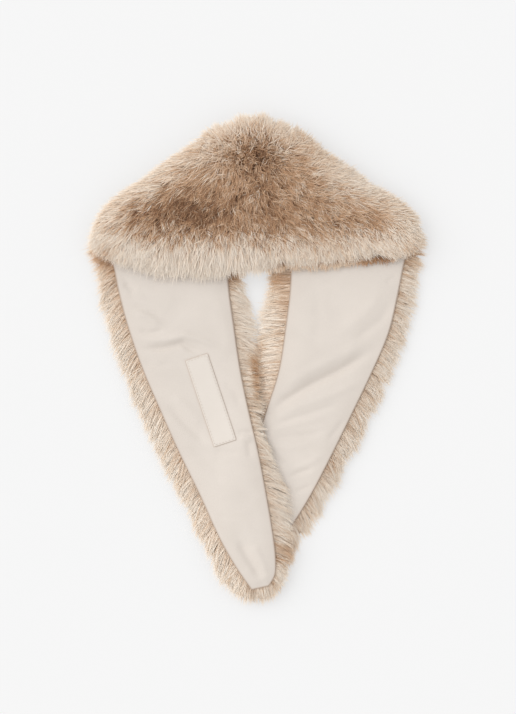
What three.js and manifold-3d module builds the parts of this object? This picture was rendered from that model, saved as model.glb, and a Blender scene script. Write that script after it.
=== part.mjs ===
// A long-haired fur collar wrap laid flat, seen from above: +X to the right, +Y towards the
// neck, +Z up, in millimetres. The origin is on the surface it lies on, under the middle of it.
//
// The wrap is one crescent-shaped strip, suede on one side and fur on the other. Its two fronts
// lie suede up with their fur underneath, the left one lapped over the right one. The strip is
// folded over at each shoulder, so its back lies on top of the fronts with the fur up.

import * as THREE from "three";
import { mergeVertices } from "three/addons/utils/BufferGeometryUtils.js";
import Module from "manifold-3d";

// Layers, from the surface up.
const FRONT_PILE = 15; // fur under a front, pressed by what lies on it
const LAPPED_RIGHT_PILE = 9.5; // fur of the right front under the left one
const LAPPED_LEFT_PILE = 11; // fur of the left front on the right one
const SUEDE = 1.6; // wall of the suede
const EDGE_SINK = { depth: 2.4, width: 14 }; // of the suede of the fronts, into the fur at its edges
const SEAM = 0.3; // between pieces that touch
const BACK_PILE = 24; // fur standing on the back
const BACK_CROWN = 4; // how much higher the middle of the back stands than its edges
const FRONT_STACK = FRONT_PILE + SEAM + SUEDE;
const BACK_SUEDE_Z = FRONT_STACK + SEAM;
const BACK_TUCK = 2 * SEAM; // of the back's suede inside its fur's rim
const BACK_FUR_Z = BACK_SUEDE_Z + SUEDE + SEAM;

// Where one front lies on the other.
const LAP_SPARE = 0.5; // room for the creases of the right front
const LAP_HEIGHT = LAPPED_RIGHT_PILE + SEAM + SUEDE + SEAM + LAP_SPARE; // lift of the left front
const LAP_RUN = { start: -75, end: -8 }; // it climbs this far short of the right front's edge
const PRESS_RUN = { start: -90, end: -35 }; // fur is pressed this far short of the left one's edge
const LAP_ENDS = { clear: 88, full: 28 }; // y where the fronts part, and where they fully lap

// Shoulder folds: where each crease runs in the suede, from its outer corner to the neck.
const LEFT_FOLD = [[-211, 165], [-200, 191], [-158, 222], [-86, 272], [-41, 304]];
const RIGHT_FOLD = [[209, 165], [200, 190], [160, 213], [84, 268], [43, 303]];
const CORNER = { left: LEFT_FOLD[0], right: RIGHT_FOLD[0] };
const NECK = { left: LEFT_FOLD.at(-1), right: RIGHT_FOLD.at(-1) };
const FOLD_PILE = 27; // how far the fur stands out past a fold
const FRONT_TURN = 0.08; // share of a front over which its rim turns from fold to free edge
const BACK_TURN = 0.06; // and of the back
const STRAIGHTEN = 0.2; // share of a stretch over which the bow of the fold fades out

// Each row is a section across a front, from the shoulder fold to the tip: where the suede's
// outer and inner edges are, and how far the fur reaches past them.
const LEFT_FRONT = [
  { outer: CORNER.left, inner: NECK.left, outerPile: 28, innerPile: 24 },
  { outer: [-208, 150], inner: [-43, 235], outerPile: 30, innerPile: 24 },
  { outer: [-201, 128], inner: [-42, 170], outerPile: 30, innerPile: 24 },
  { outer: [-193, 88], inner: [-39, 100], outerPile: 30, innerPile: 24 },
  { outer: [-180, 40], inner: [-32, 48], outerPile: 30, innerPile: 25 },
  { outer: [-161, -15], inner: [-23, -15], outerPile: 30, innerPile: 26 },
  { outer: [-137.5, -70], inner: [-12, -70], outerPile: 31, innerPile: 22 },
  { outer: [-109, -134], inner: [2.5, -132], outerPile: 30, innerPile: 20 },
  { outer: [-80, -193], inner: [13.5, -190], outerPile: 27, innerPile: 28 },
  { outer: [-53, -252], inner: [23.5, -250], outerPile: 27, innerPile: 28 },
  { outer: [-31, -291], inner: [27, -284], outerPile: 32, innerPile: 24 },
  { outer: [-17, -312], inner: [26, -305], outerPile: 30, innerPile: 17 },
  { outer: [-7, -326], inner: [17.5, -320.5], outerPile: 26, innerPile: 21 },
];
const RIGHT_FRONT = [
  { outer: CORNER.right, inner: NECK.right, outerPile: 28, innerPile: 24 },
  { outer: [210, 150], inner: [47, 235], outerPile: 28, innerPile: 28 },
  { outer: [206, 125], inner: [49, 170], outerPile: 27, innerPile: 32 },
  { outer: [198, 84], inner: [47, 95], outerPile: 27, innerPile: 34 },
  { outer: [186, 34], inner: [41, 45], outerPile: 26, innerPile: 38 },
  { outer: [163, -20], inner: [31, -20], outerPile: 27, innerPile: 38 },
  { outer: [137, -74], inner: [14, -74], outerPile: 27, innerPile: 30 },
  { outer: [104, -141], inner: [-4, -135], outerPile: 25, innerPile: 24 },
  { outer: [73, -200], inner: [-15, -192], outerPile: 23, innerPile: 22 },
  { outer: [45, -245], inner: [-21, -238], outerPile: 23, innerPile: 20 },
  { outer: [27, -272], inner: [-22, -264], outerPile: 25, innerPile: 20 },
  { outer: [14, -288], inner: [-17, -283], outerPile: 24, innerPile: 20 },
  { outer: [5, -295], inner: [-7, -293], outerPile: 22, innerPile: 22 },
];

// The back, from the left shoulder fold to the right one: its lower edge and its neck edge.
const BACK = [
  { lower: CORNER.left, neck: NECK.left, lowerPile: 28, neckPile: 24 },
  { lower: [-158, 150], neck: [-28, 312], lowerPile: 33, neckPile: 24 },
  { lower: [-98, 142], neck: [-14, 315], lowerPile: 32, neckPile: 24 },
  { lower: [-35, 144], neck: [-4, 315.5], lowerPile: 30, neckPile: 24 },
  { lower: [35, 148], neck: [8, 315], lowerPile: 28, neckPile: 24 },
  { lower: [98, 150], neck: [20, 313], lowerPile: 28, neckPile: 23 },
  { lower: [158, 158], neck: [32, 309], lowerPile: 28, neckPile: 22 },
  { lower: CORNER.right, neck: NECK.right, lowerPile: 28, neckPile: 24 },
];

// Rims of the fur in section, from the top down: share of the reach, and share of the height,
// at a free edge and at a shoulder fold.
const FRONT_RIM = [
  { out: 0.35, up: 1.1, foldOut: 0.4, foldUp: 1.08 },
  { out: 0.72, up: 0.84, foldOut: 0.84, foldUp: 1.1 },
  { out: 1.0, up: 0.38, foldOut: 1.0, foldUp: 0.72 },
  { out: 0.82, up: 0, foldOut: 0.72, foldUp: 0 },
];
const BACK_RIM = [
  { out: 0.36, up: 0.9, foldOut: 0.42, foldUp: 0.86 },
  { out: 0.72, up: 0.62, foldOut: 0.8, foldUp: 0.56 },
  { out: 1.0, up: 0.2, foldOut: 1.0, foldUp: 0.16 },
  { out: 0.82, up: 0, foldOut: 0.86, foldUp: 0 },
];

// Locks of the fur.
const LOCK = { spacing: 26, reach: 0.06 }; // small locks round the rims, as a share of the reach
const CLUMP = { spacing: 67, reach: 0.05 }; // and the larger clumps that they gather in
const LOCK_LEAN = 7; // how far the locks of the fronts lean towards the tips
const RELIEF = { height: 1.5, width: 11, length: 8 }; // locks on top of the back

// Soft creases in the suede: a ridge (up) or trough (down) from one end to the other.
const CREASES = [
  { from: [-158, 14], to: [-96, 22], half: 9, rise: -1.6 },
  { from: [-96, 22], to: [-70, 6], half: 9, rise: -1.1 },
  { from: [-150, 30], to: [-88, 38], half: 10, rise: 1.1 },
  { from: [-188, 84], to: [-140, 42], half: 12, rise: 1.2 },
  { from: [-116, -70], to: [-74, -116], half: 10, rise: -1.5 },
  { from: [-24, -252], to: [4, -292], half: 10, rise: -1.3 },
  { from: [24, -76], to: [62, -42], half: 9, rise: -1.8 },
  { from: [62, -42], to: [108, -20], half: 12, rise: -2.6 },
  { from: [108, -20], to: [156, 2], half: 11, rise: -1.7 },
  { from: [52, -20], to: [128, 14], half: 12, rise: 1.5 },
  { from: [168, 70], to: [120, 30], half: 14, rise: 1.0 },
  { from: [70, -128], to: [58, -186], half: 12, rise: -1.2 },
];

// The patch sewn on the left front.
const PATCH = { width: 33.5, length: 128, corner: 2, centre: [-64, -60.5], turn: 18.5, thick: 1.1 };

// Stations along a stretch of the strip, and across it, shared by its fur and its suede.
const FRONT_GRID = { along: 46, across: 7 };
const BACK_GRID = { along: 40, across: 9 };
const ROUNDING = 2; // times that the directions round an outline are evened out

const FUR_COLOUR = 0xc9ab8b;
const SUEDE_COLOUR = 0xe3dad1;
const PATCH_COLOUR = 0xe9e0d7;

const { clamp, degToRad, lerp } = THREE.MathUtils;
const wasm = await Module();
wasm.setup();

// 0 at a, 1 at b, and smooth between them.
function ramp(a, b, value) {
  const t = clamp((value - a) / (b - a), 0, 1);
  return t * t * (3 - 2 * t);
}

// How much further or less the locks reach, at each point round an outline.
function lockShares(outline) {
  let walked = 0;
  return outline.map((p, k) => {
    if (k > 0) walked += p.distanceTo(outline[k - 1]);
    const [small, large] = [LOCK, CLUMP].map(
      ({ spacing, reach }) => reach * Math.sin((2 * Math.PI * walked) / spacing),
    );
    return 1 + small + large;
  });
}

// A number column of a table, at a share of the way down it.
function columnValue(rows, column, share) {
  const at = clamp(share, 0, 1) * (rows.length - 1);
  const low = Math.min(Math.floor(at), rows.length - 2);
  return lerp(rows[low][column], rows[low + 1][column], at - low);
}

// A smooth curve through points of the plan.
function planCurve(points) {
  const corners = points.map(([x, y]) => new THREE.Vector3(x, y, 0));
  return new THREE.CatmullRomCurve3(corners, false, "centripetal");
}

// How far a fold bows out of the straight line between its ends, at a share across it.
function bowOf(points) {
  const crease = planCurve(points);
  const [from, to] = [crease.getPoint(0), crease.getPoint(1)];
  return (across) => crease.getPointAt(across).sub(from.clone().lerp(to, across));
}

// The plan of a stretch between two edges: the point at a share along it and a share across it.
// bows holds the bow at the start of the stretch, and the one at its end if that is a fold too.
function planOf(rows, firstEdge, secondEdge, bows) {
  const first = planCurve(rows.map((row) => row[firstEdge]));
  const second = planCurve(rows.map((row) => row[secondEdge]));
  return (along, across) => {
    const p = first.getPoint(along).lerp(second.getPoint(along), across);
    bows.forEach((bow, end) => {
      const near = 1 - ramp(0, STRAIGHTEN, Math.abs(along - end));
      p.addScaledVector(bow(across), near);
    });
    return new THREE.Vector2(p.x, p.y);
  };
}

// Stations round the edge of a grid: down one side, along the end, up the other side and back.
function ringOf({ along, across }) {
  const ring = [];
  for (let i = 0; i < along; i++) ring.push([i, 0]);
  for (let j = 0; j < across; j++) ring.push([along, j]);
  for (let i = along; i > 0; i--) ring.push([i, across]);
  for (let j = across; j > 0; j--) ring.push([0, j]);
  return ring;
}

// Directions in the plan that point out of a closed outline, fanned evenly round its corners.
function outwards(outline) {
  const last = outline.length - 1;
  const before = (list, k) => list[k === 0 ? last : k - 1];
  const after = (list, k) => list[k === last ? 0 : k + 1];
  const turning = outline.reduce((sum, p, k) => sum + p.cross(after(outline, k)), 0);
  let out = outline.map((_, k) => {
    const along = after(outline, k).clone().sub(before(outline, k)).normalize();
    return new THREE.Vector2(along.y, -along.x).multiplyScalar(Math.sign(turning));
  });
  for (let pass = 0; pass < ROUNDING; pass++) {
    out = out.map((d, k) => d.clone().add(before(out, k)).add(after(out, k)).normalize());
  }
  return out;
}

// How far a point of the plan is inside a closed outline; less than 0 outside it.
function depthInside(outline, x, y) {
  let nearest = Infinity;
  let inside = false;
  outline.forEach((p, k) => {
    const q = outline[(k + 1) % outline.length];
    const [dx, dy] = [q.x - p.x, q.y - p.y];
    const t = clamp(((x - p.x) * dx + (y - p.y) * dy) / (dx * dx + dy * dy), 0, 1);
    nearest = Math.min(nearest, Math.hypot(x - p.x - t * dx, y - p.y - t * dy));
    if (p.y > y !== q.y > y && x < p.x + ((y - p.y) * dx) / dy) inside = !inside;
  });
  return inside ? nearest : -nearest;
}

// A closed body from a grid of points on top, one underneath, and rim loops between their edges.
function closedBody(grid, top, under, rimLoops) {
  const positions = [];
  const faces = [];
  const add = (p) => positions.push(p.x, p.y, p.z) / 3 - 1;
  const topIds = top.map((row) => row.map(add));
  const underIds = under.map((row) => row.map(add));
  const ring = ringOf(grid);
  const loops = [
    ring.map(([i, j]) => topIds[i][j]),
    ...rimLoops.map((loop) => loop.map(add)),
    ring.map(([i, j]) => underIds[i][j]),
  ];
  for (let i = 0; i < grid.along; i++) {
    for (let j = 0; j < grid.across; j++) {
      const corners = [[i, j], [i + 1, j], [i + 1, j + 1], [i, j + 1]];
      const [a, b, c, d] = corners.map(([p, q]) => topIds[p][q]);
      faces.push(a, b, c, a, c, d);
      const [e, f, g, h] = corners.map(([p, q]) => underIds[p][q]);
      faces.push(e, g, f, e, h, g);
    }
  }
  for (let k = 0; k + 1 < loops.length; k++) {
    ring.forEach((_, n) => {
      const m = (n + 1) % ring.length;
      const [a, b, c, d] = [loops[k][n], loops[k][m], loops[k + 1][m], loops[k + 1][n]];
      faces.push(a, d, c, a, c, b);
    });
  }
  const geometry = new THREE.BufferGeometry();
  geometry.setAttribute("position", new THREE.Float32BufferAttribute(positions, 3));
  geometry.setIndex(facingOut(positions, faces));
  geometry.computeVertexNormals();
  return geometry;
}

// The faces, turned over if they enclose a negative volume.
function facingOut(positions, faces) {
  const corner = (id) => new THREE.Vector3().fromArray(positions, id * 3);
  let volume = 0;
  for (let f = 0; f < faces.length; f += 3) {
    const [a, b, c] = [corner(faces[f]), corner(faces[f + 1]), corner(faces[f + 2])];
    volume += a.dot(b.cross(c));
  }
  return volume > 0 ? faces : faces.reverse();
}

// A grid of points of a plan, each at the height that a function of its place gives.
function gridPoints(grid, plan, heightAt) {
  return Array.from({ length: grid.along + 1 }, (_, i) =>
    Array.from({ length: grid.across + 1 }, (_, j) => {
      const [along, across] = [i / grid.along, j / grid.across];
      const p = plan(along, across);
      return new THREE.Vector3(p.x, p.y, heightAt(p.x, p.y, along, across));
    }),
  );
}

// The edge of a plan as a closed outline.
function outlineOf(grid, plan) {
  return ringOf(grid).map(([i, j]) => plan(i / grid.along, j / grid.across));
}

// Plans of the three stretches of the strip.
const [leftBow, rightBow] = [bowOf(LEFT_FOLD), bowOf(RIGHT_FOLD)];
const leftPlan = planOf(LEFT_FRONT, "outer", "inner", [leftBow]);
const rightPlan = planOf(RIGHT_FRONT, "outer", "inner", [rightBow]);
const backPlan = planOf(BACK, "lower", "neck", [leftBow, rightBow]);
const leftOutline = outlineOf(FRONT_GRID, leftPlan);
const rightOutline = outlineOf(FRONT_GRID, rightPlan);

// How fully the fronts lap at a height up the plan.
const lapped = (y) => ramp(LAP_ENDS.clear, LAP_ENDS.full, y);

// Underside of the left front, which climbs on to the right one.
function leftBase(x, y) {
  if (y > LAP_ENDS.clear) return 0;
  return LAP_HEIGHT * lapped(y) * ramp(LAP_RUN.start, LAP_RUN.end, depthInside(rightOutline, x, y));
}

const rightBase = () => 0;

// Thickness of the fur under each front.
function leftPile(x, y) {
  return lerp(FRONT_PILE, LAPPED_LEFT_PILE, leftBase(x, y) / LAP_HEIGHT);
}

function rightPile(x, y) {
  if (y > LAP_ENDS.clear) return FRONT_PILE;
  const pressed = ramp(PRESS_RUN.start, PRESS_RUN.end, depthInside(leftOutline, x, y));
  return lerp(FRONT_PILE, LAPPED_RIGHT_PILE, pressed * lapped(y));
}

// Height of the creases at a place on the suede.
function creaseHeight(x, y) {
  return CREASES.reduce((sum, { from, to, half, rise }) => {
    const [dx, dy] = [to[0] - from[0], to[1] - from[1]];
    const t = ((x - from[0]) * dx + (y - from[1]) * dy) / (dx * dx + dy * dy);
    const held = clamp(t, 0, 1);
    const off = Math.hypot(x - from[0] - held * dx, y - from[1] - held * dy);
    return sum + rise * Math.exp(-((off / half) ** 2));
  }, 0);
}

// Top of the fur under a front's suede, which sinks in at the edges and is creased within them.
function frontTop(base, pile, outline) {
  return (x, y) => {
    const within = ramp(0, EDGE_SINK.width, depthInside(outline, x, y));
    return base(x, y) + pile(x, y) + lerp(-EDGE_SINK.depth, creaseHeight(x, y), within);
  };
}
const leftTop = frontTop(leftBase, leftPile, leftOutline);
const rightTop = frontTop(rightBase, rightPile, rightOutline);

// The rim of a piece of fur past the edges of its suede, as loops from the top down. nearFold
// says how near a fold a share along the piece is, and heightOf gives a rim point its height.
function furRim({ grid, plan, rows, piles, sections, nearFold, leanOf, heightOf }) {
  const outline = outlineOf(grid, plan);
  const out = outwards(outline);
  const locks = lockShares(outline);
  return sections.map((section) =>
    ringOf(grid).map(([i, j], n) => {
      const [along, across] = [i / grid.along, j / grid.across];
      const near = nearFold(along);
      const [first, second] = piles.map((column) => columnValue(rows, column, along));
      const free = lerp(first, second, across);
      const share = lerp(section.out, section.foldOut, near);
      const reach = lerp(free, FOLD_PILE, near) * locks[n] * share;
      const p = outline[n].clone().addScaledVector(out[n], reach);
      p.y -= leanOf(along) * section.out;
      return new THREE.Vector3(p.x, p.y, heightOf(p, lerp(section.up, section.foldUp, near)));
    }),
  );
}

// Fur under a front: flat or lapped underneath, with a rim of locks that lean to the tip.
function frontFur(rows, plan, base, pile, topAt) {
  const top = gridPoints(FRONT_GRID, plan, topAt);
  const under = gridPoints(FRONT_GRID, plan, base);
  const rim = furRim({
    grid: FRONT_GRID,
    plan,
    rows,
    piles: ["outerPile", "innerPile"],
    sections: FRONT_RIM,
    nearFold: (along) => ramp(FRONT_TURN, 0, along),
    leanOf: (along) => LOCK_LEAN * ramp(0, 0.4, along) * ramp(1, 0.9, along),
    heightOf: ({ x, y }, up) => base(x, y) + up * pile(x, y),
  });
  return closedBody(FRONT_GRID, top, under, rim);
}

// Suede of a front: an even wall on its fur.
function frontSuede(plan, topAt, lift = SEAM, thick = SUEDE) {
  const under = gridPoints(FRONT_GRID, plan, (x, y) => topAt(x, y) + lift);
  const top = under.map((row) => row.map((p) => p.clone().setZ(p.z + thick)));
  return closedBody(FRONT_GRID, top, under, []);
}

// Fur on the back: a crowned pile whose rim comes down round the folds and over the lower edge.
function backFur() {
  const edge = BACK_FUR_Z + BACK_PILE - BACK_CROWN;
  const top = gridPoints(BACK_GRID, backPlan, (x, y, along, across) => {
    const crown = BACK_CROWN * Math.sqrt(Math.sin(Math.PI * along) * Math.sin(Math.PI * across));
    const locks = Math.sin(x / RELIEF.width) * Math.sin(y / RELIEF.length);
    return edge + crown + RELIEF.height * locks;
  });
  const under = gridPoints(BACK_GRID, backPlan, () => BACK_FUR_Z);
  const rim = furRim({
    grid: BACK_GRID,
    plan: backPlan,
    rows: BACK,
    piles: ["lowerPile", "neckPile"],
    sections: BACK_RIM,
    nearFold: (along) => ramp(BACK_TURN, 0, Math.min(along, 1 - along)),
    leanOf: () => 0,
    heightOf: (p, up) => lerp(BACK_SUEDE_Z, edge, up),
  });
  const step = outlineOf(BACK_GRID, backPlan).map((p) => new THREE.Vector3(p.x, p.y, BACK_SUEDE_Z));
  return closedBody(BACK_GRID, top, under, [...rim, step]);
}

// Suede of the back, just inside the edge of the fur that comes down round it.
function backSuede() {
  const under = gridPoints(BACK_GRID, backPlan, () => BACK_SUEDE_Z);
  const out = outwards(outlineOf(BACK_GRID, backPlan));
  ringOf(BACK_GRID).forEach(([i, j], n) => {
    under[i][j].x -= out[n].x * BACK_TUCK;
    under[i][j].y -= out[n].y * BACK_TUCK;
  });
  const top = under.map((row) => row.map((p) => p.clone().setZ(p.z + SUEDE)));
  return closedBody(BACK_GRID, top, under, []);
}

// The patch: a layer on the left front's suede, cut to a rectangle with slightly round corners.
function patch() {
  const { width, length, corner, centre, turn, thick } = PATCH;
  const [w, l] = [width / 2, length / 2];
  const shape = new THREE.Shape();
  shape.moveTo(w - corner, -l);
  shape.absarc(w - corner, corner - l, corner, -Math.PI / 2, 0);
  shape.absarc(w - corner, l - corner, corner, 0, Math.PI / 2);
  shape.absarc(corner - w, l - corner, corner, Math.PI / 2, Math.PI);
  shape.absarc(corner - w, corner - l, corner, Math.PI, 1.5 * Math.PI);
  const depth = 2 * FRONT_STACK + LAP_HEIGHT;
  const cutter = new THREE.ExtrudeGeometry(shape, { depth, bevelEnabled: false, curveSegments: 2 });
  cutter.rotateZ(degToRad(turn)).translate(centre[0], centre[1], 0);
  const layer = frontSuede(leftPlan, leftTop, SEAM + SUEDE + SEAM, thick);
  return shapeOf(solidOf(layer).intersect(solidOf(cutter)));
}

// A closed geometry as a solid for joining and cutting, and back.
function solidOf(geometry) {
  const bare = new THREE.BufferGeometry();
  bare.setAttribute("position", geometry.getAttribute("position"));
  bare.setIndex(geometry.getIndex());
  const merged = mergeVertices(bare);
  const vertProperties = new Float32Array(merged.getAttribute("position").array);
  const triVerts = new Uint32Array(merged.getIndex().array);
  return new wasm.Manifold(new wasm.Mesh({ numProp: 3, vertProperties, triVerts }));
}

function shapeOf(solid) {
  const { vertProperties, triVerts } = solid.getMesh();
  const geometry = new THREE.BufferGeometry();
  geometry.setAttribute("position", new THREE.Float32BufferAttribute(vertProperties, 3));
  geometry.setIndex(Array.from(triVerts));
  geometry.computeVertexNormals();
  return geometry;
}

function finish(colour, roughness) {
  return new THREE.MeshStandardMaterial({ color: colour, roughness, metalness: 0 });
}

const wrap = new THREE.Group();

function addPiece(name, geometry, material) {
  const mesh = new THREE.Mesh(geometry, material);
  mesh.name = name;
  wrap.add(mesh);
}

const fur = finish(FUR_COLOUR, 0.9);
const suede = finish(SUEDE_COLOUR, 0.85);
addPiece("fur_front_right", frontFur(RIGHT_FRONT, rightPlan, rightBase, rightPile, rightTop), fur);
addPiece("suede_front_right", frontSuede(rightPlan, rightTop), suede);
addPiece("fur_front_left", frontFur(LEFT_FRONT, leftPlan, leftBase, leftPile, leftTop), fur);
addPiece("suede_front_left", frontSuede(leftPlan, leftTop), suede);
addPiece("patch", patch(), finish(PATCH_COLOUR, 0.8));
addPiece("suede_back", backSuede(), suede);
addPiece("fur_back", backFur(), fur);

// The origin goes under the middle of the whole wrap.
const middle = new THREE.Box3().setFromObject(wrap).getCenter(new THREE.Vector3());
wrap.position.set(-middle.x, -middle.y, 0);

export default wrap;
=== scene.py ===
"""A fur collar wrap laid flat: a long strip of suede with the hair left on its other side.

Its two fronts lie hair down, the left one lapped over the right, and its back is folded over them as a
collar, hair up. Sizes are in millimetres unless a comment says otherwise, and MM turns them into metres.
"""

import bmesh
import bpy
import numpy as np
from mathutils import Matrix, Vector
from mathutils.bvhtree import BVHTree
from mathutils.kdtree import KDTree


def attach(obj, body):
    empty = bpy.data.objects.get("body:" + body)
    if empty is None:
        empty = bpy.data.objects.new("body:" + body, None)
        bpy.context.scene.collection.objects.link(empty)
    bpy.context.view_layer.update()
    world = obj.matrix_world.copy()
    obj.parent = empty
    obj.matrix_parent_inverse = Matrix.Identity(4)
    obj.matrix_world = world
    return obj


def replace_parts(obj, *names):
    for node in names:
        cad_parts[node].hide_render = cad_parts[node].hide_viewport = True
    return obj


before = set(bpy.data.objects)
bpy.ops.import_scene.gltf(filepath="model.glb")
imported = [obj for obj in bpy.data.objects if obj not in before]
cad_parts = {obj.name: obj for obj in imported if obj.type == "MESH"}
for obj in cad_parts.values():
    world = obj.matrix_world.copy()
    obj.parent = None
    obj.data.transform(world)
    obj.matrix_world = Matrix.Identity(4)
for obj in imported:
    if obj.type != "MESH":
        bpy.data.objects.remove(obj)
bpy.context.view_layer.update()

MM = 0.001

# The right front's fur lies under everything else, hair down on the table. It is dense tan underfur with
# long pale guard hairs, which grow from the underside of the suede. Past the suede's edge they fan out
# as a trim, and under the suede they are pressed flat by its weight.


def table(columns, *rows):
    """A table with named columns, as one dictionary a row."""
    return [dict(zip(columns.split(), row)) for row in rows]


UNDERCOAT = {"inset": 19, "fuller_inset": 1.2, "drop": 7, "drop_under_suede": 5.5, "lift": 1.7}
SUEDE_COVER = 6
GUARD_HAIR = {"steps": (0, 0.36, 0.7, 1), "taper": (0.8, 1, 0.62), "shortest": 0.2, "softness": 0.88}
GUARD_HAIR_WIDTH = {"least": 0.7, "more": 0.6, "roll": 0.6, "most_roll": 1.2}
GUARD_HAIR_CHART = {"tone": (0.02, 0.95), "along": (0.01, 0.98), "across": 0.004}
TIP_SPREAD = {"range": (-14, 8), "ends": (2.2, 1.8)}
STRAY_HAIR = {"share": 0.03, "longer": (2, 8)}
LOCK_DRAW = {"late": 1.4, "apart": 0.3, "trim_pull": (0.15, 0.85)}
TRIM_HAIR = {"hairs": 30000, "in_lock": 12, "width": 0.8, "length": (44, 64), "root_drop": (0.7, 2.2)}
TRIM_FAN = {"low": -42, "level": -6, "high": 8, "upper_share": 0.7, "lock": 0.18}
TRIM_WANDER = {"lock": 0.16, "own": 0.06, "sway": 0.2, "sway_size": 14, "at_tip": 1.5}
TRIM_LIE = {"root_comb": 0.55, "tip_comb": 1.45, "turn": 0.42, "sag": 0.1, "risen_sag": 0.4, "lean": 0.45}
TRIM_RANGE = (160, -300)
TRIM_FALLEN = {"from": 9, "to": 18, "shorter": 5}
TRIM_TONE = {"plain": 0.06, "own": 0.035, "lock": 0.075}
TRIM_BLOTCHES = table("more size seed", (0.05, 26, 0.6), (0.04, 11, 3.4))
RIGHT_TRIM_COMB = {"outer": (0.15, 1.3), "inner": (0.05, 0.75)}
UNDERSIDE_HAIR = {"hairs": 6500, "past_suede": 8, "root_lift": 1.8, "shorter": 0.65, "dip": 0.035}
UNDERSIDE_WANDER = {"own": 0.25, "sway": 0.5, "sway_size": 22}
# Spots of tone and painted light on the fronts' fur. Painted shade: the seam between the two inner trims,
# over their darker roots there, and the corners under the collar's lower edge. Painted light: the paler left
# inner trim, which faces away from the lamp. The rest are darker or paler stretches of the fur.
FRONT_TONE_AND_PAINTED_LIGHT_SPOTS = table(
    "x y half_x half_y more",
    (4, 16, 4, 14, 0.4), (-1, -8, 4, 17, 0.6), (2, -38, 4, 18, 0.55), (-28, 50, 12, 60, -0.12),
    (28, -165, 14, 70, -0.06), (34, 60, 14, 40, 0.08), (22, -328, 34, 16, 0.07),
    (-212, 143, 18, 18, 0.55), (223, 152, 18, 18, 0.45), (-200, 90, 26, 60, 0.1), (-31, 119, 12, 13, 0.5),
    (30, 116, 14, 18, 0.5), (46, -272, 12, 16, 0.3),
)
FRONT_FULLER_SPOTS = table(
    "x y half_x half_y more",
    (0, 42, 40, 32, 8.5), (14, -116, 26, 26, -15), (52, -204, 26, 34, 10), (0, -22, 34, 36, 8),
)
FRONT_FULLER_LIMITS = (-4, 12)
REST_GAP = 0.6
FUR_COLOUR_RISE = {"From Min": 0.05, "From Max": 0.85}
FUR_TIP_COLOURS = [(251, 241, 228), (240, 218, 193), (218, 177, 139), (181, 136, 98), (130, 90, 60)]
FUR_ROOT_COLOURS = [(240, 222, 202), (196, 160, 128), (150, 106, 72), (106, 69, 43), (72, 44, 26)]


def unit(vectors):
    """The same vectors at length 1."""
    return vectors / np.maximum(np.linalg.norm(vectors, axis=-1, keepdims=True), 1e-9)


def smooth_step(low, high, value):
    """0 below low, 1 above high, and an even S between them."""
    share = np.clip((value - low) / (high - low), 0, 1)
    return share * share * (3 - 2 * share)


def linear(red, green, blue):
    """A screen colour of 0 to 255 as the linear colour that Blender's sockets take."""
    screen = np.array([red, green, blue]) / 255
    light = np.where(screen <= 0.04045, screen / 12.92, ((screen + 0.055) / 1.055) ** 2.4)
    return (*light.tolist(), 1.0)


def corners_of(mesh):
    """A mesh's corners in millimetres."""
    places = np.empty(len(mesh.vertices) * 3)
    mesh.vertices.foreach_get("co", places)
    return places.reshape(-1, 3) / MM


def solid_of(node):
    """A solid's corners, with doubled ones joined, its triangles, and their area-weighted normals."""
    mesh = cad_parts[node].data
    corners, joined = np.unique(np.round(corners_of(mesh), 3), axis=0, return_inverse=True)
    loops = np.empty(len(mesh.loops), int)
    mesh.loops.foreach_get("vertex_index", loops)
    triangles = joined.ravel()[loops].reshape(-1, 3)
    first, second, third = (corners[triangles[:, k]] for k in range(3))
    return corners, triangles, np.cross(second - first, third - first) / 2


def corner_normals(corners, triangles, areas):
    """The mean direction that the faces round each corner look in."""
    total = np.zeros_like(corners)
    for k in range(3):
        np.add.at(total, triangles[:, k], areas)
    return unit(total)


def scatter(triangles, weights, count, random):
    """Places spread over triangles by weight: each one's corners and its share of each corner."""
    chosen = random.choice(len(triangles), count, p=weights / weights.sum())
    across, along = random.random((2, count))
    root = np.sqrt(across)
    return triangles[chosen], np.stack([1 - root, root * (1 - along), root * along], axis=1)


def at(values, corner_index, shares):
    """Corner values at scattered places."""
    return np.einsum("nk,nkd->nd", shares, values[corner_index])


def ripple(points, size, seed):
    """A soft uneven swell from -1 to 1 over the plan, with bumps about size across."""
    x, y = points[:, 0] / size, points[:, 1] / size
    waves = np.sin(2.1 * x + 1.3 * y + seed) + np.sin(-1.2 * x + 2.4 * y + 2.3 * seed)
    return (waves + np.sin(3.1 * x - 1.9 * y + 4.1 * seed) + np.sin(0.9 * x + 3.3 * y + 5.7 * seed)) / 4


def show(name, data):
    """A new object in the scene."""
    shown = bpy.data.objects.new(name, data)
    bpy.context.scene.collection.objects.link(shown)
    return shown


def put(name, mesh, material):
    """A mesh as a piece that rides with the wrap, with the given material."""
    piece = show(name, mesh)
    mesh.materials.append(material)
    mesh.shade_smooth()
    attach(piece, "root")
    return piece


def mesh_from(name, corners, faces):
    """A mesh from corners in millimetres and a list of faces."""
    mesh = bpy.data.meshes.new(name)
    mesh.from_pydata((corners * MM).tolist(), [], [list(face) for face in faces])
    mesh.update()
    return mesh


def refine(piece, levels):
    """The piece's mesh subdivided and smoothed, as its own mesh."""
    finer = piece.modifiers.new("finer", "SUBSURF")
    finer.levels = finer.render_levels = levels
    finer.boundary_smooth = "PRESERVE_CORNERS"
    bake_modifiers(piece)


def bake_modifiers(piece):
    """The piece's modifiers worked into its mesh."""
    shaped = bpy.data.meshes.new_from_object(piece.evaluated_get(bpy.context.evaluated_depsgraph_get()))
    piece.modifiers.clear()
    piece.data = shaped


def keep_on_corners(mesh, name, values):
    """Values kept on a mesh's corners, for its material to read."""
    kept = mesh.attributes.new(name, "FLOAT", "POINT")
    kept.data.foreach_set("value", values.astype(np.float32))


def new_nodes(nodes, *kinds):
    """A new shader node of each kind."""
    return [nodes.new(f"ShaderNode{kind}") for kind in kinds]


def preset(node, values):
    """Fixed values for a node's sockets."""
    for socket, value in values.items():
        node.inputs[socket].default_value = value


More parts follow.
